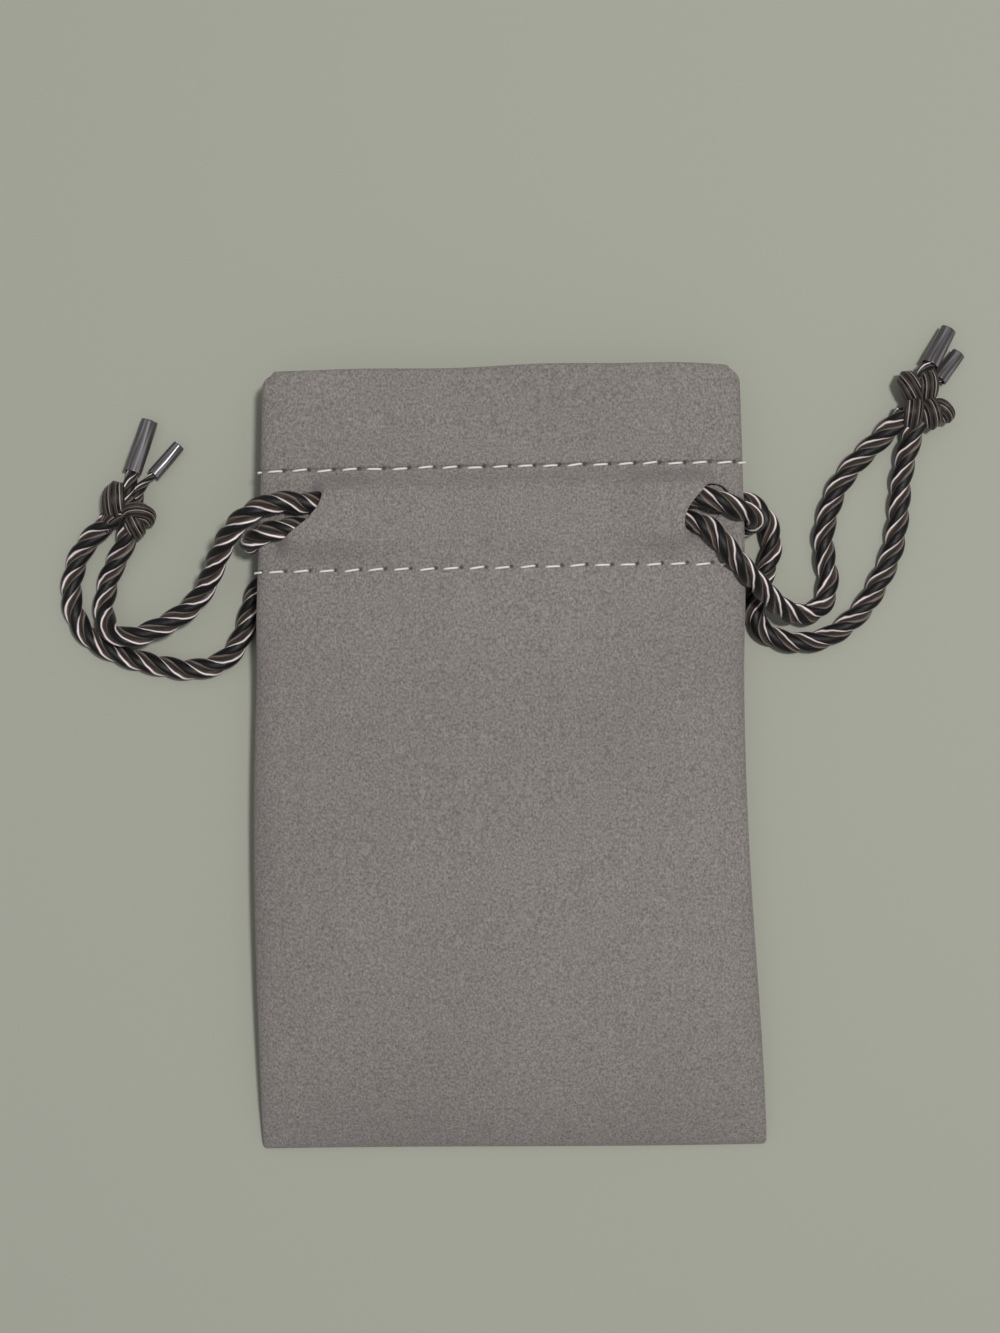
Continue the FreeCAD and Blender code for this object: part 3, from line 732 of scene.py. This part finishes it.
# %% The pouch's outline and heights, in millimetres
BOTTOM, MOUTH = -55.0, 54.8
UPPER_ROW, LOWER_ROW = 41.6, 27.5
LIP_LINE = 41.75
HEM_END = 26.2
MIDDLE_Z = 6.6
HEM_STEP = 1.2                    # from a sheet's outside to its hem, through both layers
HEM_IN = 0.7                      # the hem's sides stand in from the sheet's
EDGE_ROUND = 0.6
BODY_TOP = 9.9
FOLD_THICK, RISE_LENGTH = 2.13, 10
CORD_PROUD = 1.5
CORD_LIFT = 3.3                   # the loops under the back hold it this far off the floor
CLOTH = 0.5
RIDGE_TOP = 13.45
RIDGE_LOW = 12.15
CHANNEL_Y = 35.25


def smoothstep(low, high, value):
    """0 before low, 1 after high, 3t^2 - 2t^3 between."""
    t = np.clip((value - low) / (high - low), 0, 1)
    return t * t * (3 - 2 * t)


def half_width(y):
    """Half width: an even taper, with small rounded corners at mouth and bottom."""
    wide = 34.9 - 0.0236 * y
    top = np.clip((y - (MOUTH - 2.0)) / 2.0, 0, 1)
    low = np.clip(((BOTTOM + 1.0) - y) / 1.0, 0, 1)
    at_mouth = 1.5 * (1 - np.sqrt(1 - 0.995 * top ** 2))
    at_bottom = 0.6 * (1 - np.sqrt(1 - 0.96 * low ** 2))
    return wide - at_mouth - at_bottom


def middle_x(y):
    """The pouch lies with a slight bow to the left below the channel."""
    return 0.45 - 1.4 * np.exp(-(((y + 8) / 38) ** 2))


def body_rise(y):
    """Height that rises from the bottom fold: top (1 - exp(-(distance + 2.13) / 10))."""
    return BODY_TOP * (1 - np.exp(-(y - BOTTOM + FOLD_THICK) / RISE_LENGTH))


def front_height(y):
    """Top of the pillow: eases to 9.9, and stands a little proud where the cords pass."""
    puff = body_rise(y)
    proud = CORD_PROUD * smoothstep(-4, 27, y) * (1 - 0.7 * smoothstep(33, 40, y))
    return puff + proud * (1 - smoothstep(43, 53, y))


def back_height(y):
    """Underside: on the table, then lifted by the cords that pass below."""
    return CORD_LIFT * smoothstep(13, 23, y) + 0.02


def fold_height(y):
    """Height of the side fold, half way between front and back."""
    return (body_rise(y) + back_height(y)) / 2


def pillow(share, power):
    """(1 - |share|^p)^(1/p): 1 over most of the width, falling to 0 at the fold."""
    return np.clip(1 - np.abs(share) ** power, 0, 1) ** (1 / power)


def slant(x, y):
    """Extra distance out: the holes' inner edges slant, so the cloth covers one cord longer."""
    up = y - CHANNEL_Y
    return np.where(x < 0, 0.95 * np.clip(up, -2.3, 3), 0.3 - 0.6 * np.clip(up, -3, 2))


def ridge_shape(x, y):
    """How far a point is into the raised channel: (along the width, along the length)."""
    over = np.abs(x) + slant(x, y)
    middle = 1 - smoothstep(27.0, 29.6, over)
    band = smoothstep(LOWER_ROW + 0.4, 32.4, y) * (1 - smoothstep(38.0, UPPER_ROW - 0.1, y))
    return middle, band


def ridge_top(x):
    """Channel height: the cords are squeezed flat in the middle and round near the holes."""
    return RIDGE_LOW + (RIDGE_TOP - RIDGE_LOW) * smoothstep(14, 22.5, np.abs(x))


def stitch_dent(x, y):
    """Cloth drawn down along both rows of stitches, most at the needle holes."""
    pull = 0
    for row in (UPPER_ROW, LOWER_ROW):
        near = np.exp(-(((y - row) / 0.75) ** 2))
        pull = pull + near * (0.24 + 0.12 * np.cos(2 * np.pi * (x - 1.75) / 3.5))
    return pull


def front_z(x, y):
    """Outer surface of the front, for x across and y along, all in millimetres."""
    share = (x - middle_x(y)) / half_width(y)
    power = 2.9 + 3.1 * smoothstep(8, 27, y)
    fold = fold_height(y)
    plain = fold + (front_height(y) - fold) * pillow(share, power)
    middle, band = ridge_shape(x, y)
    low = np.minimum(plain, BODY_TOP - 0.05)
    raised = middle * (ridge_top(x) - plain) + (1 - middle) * (low - plain)
    soft = 0.10 * np.sin(x / 7.3 + 0.6) * np.sin(y / 11.0) * pillow(share, 2.0)
    return plain + band * raised + soft - stitch_dent(x, y) * pillow(share, 4.0)


def back_z(x, y):
    """Outer surface of the back, the front's mirror image beside the channel."""
    share = (x - middle_x(y)) / half_width(y)
    power = 4.0 + 2.0 * smoothstep(8, 27, y)
    fold = fold_height(y)
    plain = fold - (fold - back_height(y)) * pillow(share, power)
    middle, band = ridge_shape(x, y)
    raised = middle * (np.maximum(2 * MIDDLE_Z - ridge_top(x), 0.02) - plain)
    return plain + band * raised + stitch_dent(x, y) * pillow(share, 4.0)


print("front height at middle", round(float(front_z(0.0, 0.0)), 2))


# %% [markdown]
# A sheet is a grid. Its columns are closer together at the side folds, where the cloth turns,
# and its rows are closer together in the channel. At the mouth the sheet turns in on itself and
# runs back inside as the hem, so the cloth is followed over the edge row by row.

# %% Rows, columns and the turned-in mouth
def column_shares():
    """Places across, -1 to 1: even in the middle, then even steps down the rounded fold."""
    inner = np.linspace(-0.94, 0.94, 121)
    drop = np.linspace((1 - 0.94 ** 4) ** 0.25, 0, 9)[1:]
    outer = (1 - drop ** 4) ** 0.25
    return np.concatenate([-outer[::-1], inner, outer])


SHARES = column_shares()


def mouth_wave(x):
    """The mouth edge's slight waviness along Y."""
    ripple = 0.14 * np.sin(x / 9) + 0.1 * np.sin(x / 3.9)
    return 0.42 + ripple - 0.45 * smoothstep(22, 34, x)


def bottom_skew(x, y):
    """The bottom edge runs a little further down at the right."""
    return -0.8 * smoothstep(-35, 35, x) * (1 - smoothstep(BOTTOM, -35, y))


def outer_rows(places, surface):
    """Grid points of the outside of a sheet at the given y places."""
    y = places[:, None]
    x = middle_x(y) + half_width(y) * SHARES[None, :]
    y = y + 0 * x
    z = surface(x, y)
    wave = mouth_wave(x) * smoothstep(46, MOUTH, y)
    return np.stack([x, y + wave + bottom_skew(x, y), z], -1)


def inner_rows(places, up):
    """Grid points of the hem: 0.7 in from the sheet at the sides, 1.2 in from its flat."""
    y = places[:, None]
    reach = half_width(y) - HEM_IN
    x = middle_x(y) + reach * SHARES[None, :]
    y = y + 0 * x
    drop = (BODY_TOP - MIDDLE_Z - HEM_STEP) * pillow(SHARES[None, :], 6.0) + 0 * x
    wave = mouth_wave(x) * smoothstep(46, MOUTH, y)
    return np.stack([x, y + wave, MIDDLE_Z + up * drop], -1)


def turned_edge(outer, inner, steps=9):
    """Half a turn of cloth between the last outer row and the first hem row."""
    turn = np.linspace(0, np.pi, steps)[1:-1, None, None]
    middle = (outer + inner) / 2
    reach = (outer - inner) / 2
    bulge = np.array([0, 1.0, 0]) * EDGE_ROUND
    return middle + reach * np.cos(turn) + bulge * np.sin(turn)


def sheet_piece(name, rows, keep=None, outward=1):
    """A sheet from a grid of rows, with thickness; keep marks the points outside its holes."""
    count, columns, _ = rows.shape
    faces = grid_faces(count, columns)
    if outward < 0:
        faces = faces[:, ::-1]
    points = rows * MM
    if keep is not None:
        faces = faces[keep.ravel()[faces].any(axis=1)]
    uv = (rows[..., :2].reshape(-1, 2) / 100 + 0.5)[faces]
    piece = add_mesh(name, points, faces, uv)
    cloth = piece.modifiers.new("cloth", "SOLIDIFY")
    cloth.thickness = CLOTH * MM
    cloth.offset = -1
    piece.data.materials.append(SUEDE)
    return piece


# %% [markdown]
# The cords leave through a cut hole at each end of the channel. A hole is made by leaving out the
# faces inside a slanted oval and moving the points nearest to it out onto its rim. That needs no
# boolean cut, so the grid stays even and the rim smooth.

# %% Cord holes
HOLE_X, HOLE_HALF_X, HOLE_HALF_Y = 28.9, 2.6, 3.4


def hole_radius(points):
    """Distance from the nearer hole's centre, 1 on its slanted oval rim."""
    x, y = points[..., 0], points[..., 1]
    dx = (np.abs(x) + slant(x, y) - HOLE_X) / HOLE_HALF_X
    dy = (y - CHANNEL_Y) / HOLE_HALF_Y
    return np.sqrt(dx ** 2 + dy ** 2)


def open_holes(rows, surface):
    """Moves the points just inside a rim out onto it, so that the cut edge is smooth."""
    x, y = rows[..., 0], rows[..., 1]
    radius = np.maximum(hole_radius(rows), 0.05)
    out = HOLE_X + (np.abs(x) + slant(x, y) - HOLE_X) / radius
    rim_y = CHANNEL_Y + (y - CHANNEL_Y) / radius
    rim_x = np.sign(x) * (out - slant(x, rim_y))
    inside = (radius < 1) & (radius > 0.5)
    new_x, new_y = np.where(inside, rim_x, x), np.where(inside, rim_y, y)
    z = np.where(inside, surface(new_x, new_y), rows[..., 2])
    return np.stack([new_x, new_y, z], -1)


# %% [markdown]
# The front sheet stops at the upper stitches, where the lip begins, because the lip lifts when the
# mouth is opened.

# %% Front sheet, lip and front hem
BOTTOM_TURN = np.linspace(0, np.pi / 2, 7)
bottom_rows = BOTTOM + 0.9 * (1 - np.cos(BOTTOM_TURN))
body_rows = np.concatenate([np.arange(BOTTOM + 1.5, 22.0, 1.0), np.arange(22.0, LIP_LINE, 0.45),
                            [LIP_LINE]])


def closed_bottom(surface):
    """The first rows, turned from the bottom fold up to the sheet as a quarter round."""
    rows = outer_rows(bottom_rows, surface)
    fold = fold_height(bottom_rows)[:, None]
    rows[..., 2] = fold + (rows[..., 2] - fold) * np.sin(BOTTOM_TURN)[:, None]
    return rows


front_rows = np.concatenate([closed_bottom(front_z), outer_rows(body_rows, front_z)])
front = sheet_piece("front_sheet", open_holes(front_rows, front_z), hole_radius(front_rows) >= 1)
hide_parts("front_panel")
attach(front, "root")

header_rows = np.concatenate([np.arange(LIP_LINE, MOUTH - 2.2, 0.5),
                              np.arange(MOUTH - 2.0, MOUTH - 0.1, 0.2), [MOUTH]])
lip_outer = outer_rows(header_rows, front_z)
lip_inner = inner_rows(header_rows[::-1], 1)
lip_rows = np.concatenate([lip_outer, turned_edge(lip_outer[-1], lip_inner[0]), lip_inner])
lip = sheet_piece("front_lip_sheet", lip_rows)
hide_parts("front_lip")

hem_places = np.arange(LIP_LINE, HEM_END, -0.8)
hem = sheet_piece("front_hem_sheet", inner_rows(hem_places, 1))
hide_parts("front_hem")
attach(hem, "root")

# %% [markdown]
# Nothing lifts the back, so its panel, its turned mouth and its hem are one sheet, followed row by
# row from the bottom fold to the hem's raw edge.

# %% Back sheet with its own turned-in hem
all_rows = np.concatenate([body_rows[:-1], header_rows])
back_outer = np.concatenate([closed_bottom(back_z), outer_rows(all_rows, back_z)])
back_inner = inner_rows(np.arange(MOUTH, HEM_END, -0.8), -1)
back_rows = np.concatenate([open_holes(back_outer, back_z),
                            turned_edge(back_outer[-1], back_inner[0]), back_inner])
# the hem passes inside the holes uncut
uncut = np.ones(back_rows.shape[:2], bool)
uncut[:len(back_outer)] = hole_radius(back_outer) >= 1
back = sheet_piece("back_sheet", back_rows, uncut, outward=-1)
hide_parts("back_panel", "back_hem")
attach(back, "root")
print("sheet points", len(front.data.vertices), len(lip.data.vertices), len(back.data.vertices))

# %% [markdown]
# Each stitch is a short raised loop of thread between two needle holes, a little skewed as a
# machine leaves it. All the stitches of a row are one mesh, made as one array. The last stitch
# of each row runs over the side fold.

# %% Stitches
PITCH = STITCH_PITCH / MM
STITCH = 2.2
THREAD_RADIUS = 0.155
END_STITCH_IN = 0.5


def thread_tubes(paths, radius, section=8):
    """Tubes round many short paths at once: (stitches, steps, xyz) to points and faces."""
    ahead = unit(np.gradient(paths, axis=1))
    side = unit(np.cross(ahead, np.array([0, 0, 1.0]) + 0 * ahead))
    over = np.cross(side, ahead)
    a = np.linspace(0, 2 * np.pi, section, endpoint=False)[:, None]
    steps = paths.shape[1]
    thick = radius * np.sqrt(np.clip(1 - np.linspace(-0.97, 0.97, steps) ** 8, 0.05, 1))
    ring = np.cos(a) * side[:, :, None] + np.sin(a) * over[:, :, None]
    points = paths[:, :, None] + thick[None, :, None, None] * ring
    quads = grid_faces(steps, section, around=True)[:, ::-1]
    shift = np.arange(len(paths))[:, None, None] * steps * section
    uv = corner_uv(np.arange(steps) * 0.6, section)[:, ::-1]
    return points, (quads[None] + shift).reshape(-1, 4), np.tile(uv, (len(paths), 1, 1))


def stitch_row(name, row, surface, up, node_name):
    """One row of stitches laid on a surface: arcs that dip into the cloth at both ends.

    What would reach past the side fold turns down along it instead.
    """
    reach = float(half_width(row))
    middle = float(middle_x(row))
    x = np.arange(-10, 11) * PITCH + RANDOM.normal(0, 0.07, 21)
    x[[0, -1]] -= np.sign(x[[0, -1]]) * END_STITCH_IN
    t = np.linspace(-0.5, 0.5, 13)[None, :]
    tilt = (0.18 + RANDOM.normal(0, 0.09, 21))[:, None]
    lift = RANDOM.normal(0, 0.06, 21)[:, None]
    px = x[:, None] + t * STITCH
    py = row + tilt * t * STITCH * 0.5 + lift + 0 * px
    away = np.abs(px - middle)
    past = np.maximum(away - (reach - 0.3), 0)
    on_cloth = px - np.sign(px - middle) * past
    px = px - np.sign(px - middle) * np.maximum(away - (reach + 0.25), 0)
    arch = 0.16 - 0.62 * (2 * t) ** 6 * (past == 0)
    pz = surface(on_cloth, py) + up * (arch - 0.7 * past)
    paths = np.stack([px, py, pz], -1)
    points, faces, uv = thread_tubes(paths, THREAD_RADIUS)
    piece = add_mesh(name, points * MM, faces, uv)
    piece.data.materials.append(THREAD)
    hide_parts(node_name)
    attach(piece, "root")
    return piece


for face, surface, up in (("front", front_z, 1), ("back", back_z, -1)):
    for level, row in (("upper", UPPER_ROW), ("lower", LOWER_ROW)):
        thread = stitch_row(f"{face}_{level}_thread", row, surface, up,
                            f"{face}_{level}_stitches")
        print(thread.name, len(thread.data.vertices), "points")

# %% [markdown]
# The closing seams are inside the pouch. Each side seam's thread follows the bowed side fold, a
# little way in, so that none of it shows. The bottom one keeps the construction model's shape.

# %% Hidden seam threads
SEAM_IN = 1.5
SEAM_START, SEAM_END = -53.0, 41.0


def side_seam(side, sign):
    """One thread along a side fold: x = middle + sign (half width - 1.5), z at the fold."""
    y = np.linspace(SEAM_START, SEAM_END, 240)[None, :]
    x = middle_x(y) + sign * (half_width(y) - SEAM_IN)
    points, faces, uv = thread_tubes(np.stack([x, y, fold_height(y)], -1), THREAD_RADIUS)
    seam = add_mesh(f"{side}_seam_inside", points * MM, faces, uv)
    seam.data.materials.append(THREAD)
    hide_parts(f"{side}_seam_thread")
    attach(seam, "root")
    print(seam.name, len(seam.data.vertices), "points")


side_seam("left", -1)
side_seam("right", 1)
bottom_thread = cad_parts["bottom_seam_thread"].data
bottom_thread.materials.clear()
bottom_thread.materials.append(THREAD)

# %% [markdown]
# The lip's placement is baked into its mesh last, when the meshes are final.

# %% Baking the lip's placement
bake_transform(lip)
print("sheets declared", [sheet.name for sheet in (front, lip, hem, back)])

# %% [markdown]
# The stage is a plain pale floor under a broad soft light from above and a gentler one from the
# upper right, which lays short shadows to the left.

# %% Floor and light
def floor_material():
    """A plain pale matt surface."""
    material, tree, shader, node = new_material("floor")
    shader.inputs["Base Color"].default_value = srgb(150, 150, 138)
    shader.inputs["Roughness"].default_value = 0.9
    return material


floor = add_mesh("floor", np.array([[-3, -3, 0], [3, -3, 0], [3, 3, 0], [-3, 3, 0.0]]),
                 np.array([[0, 1, 2, 3]]))
floor.data.materials.append(floor_material())


def area_light(name, place, size, power, aim=(0, 0.01, 0)):
    """A square soft light aimed at the pouch."""
    light = bpy.data.lights.new(name, "AREA")
    light.size = size
    light.energy = power
    holder = bpy.data.objects.new(name, light)
    bpy.context.scene.collection.objects.link(holder)
    holder.location = place
    way = np.array(aim) - np.array(place)
    flat = math.hypot(way[0], way[1])
    holder.rotation_euler = (math.atan2(flat, -way[2]), 0, math.atan2(way[1], way[0]) - math.pi / 2)
    return holder


area_light("window", (0.15, 0.09, 0.75), 0.07, 4.5)
area_light("ceiling", (0.0, 0.1, 1.2), 1.6, 3.4)
world = bpy.data.worlds.new("studio")
world.use_nodes = True
world.node_tree.nodes["Background"].inputs["Color"].default_value = (0.92, 0.96, 1.0, 1)
world.node_tree.nodes["Background"].inputs["Strength"].default_value = 0.3
bpy.context.scene.world = world
print("lights", [light.name for light in bpy.data.lights])

# %% [markdown]
# The last cell updates the scene and hands it over.

# %% Finish
bpy.context.view_layer.update()
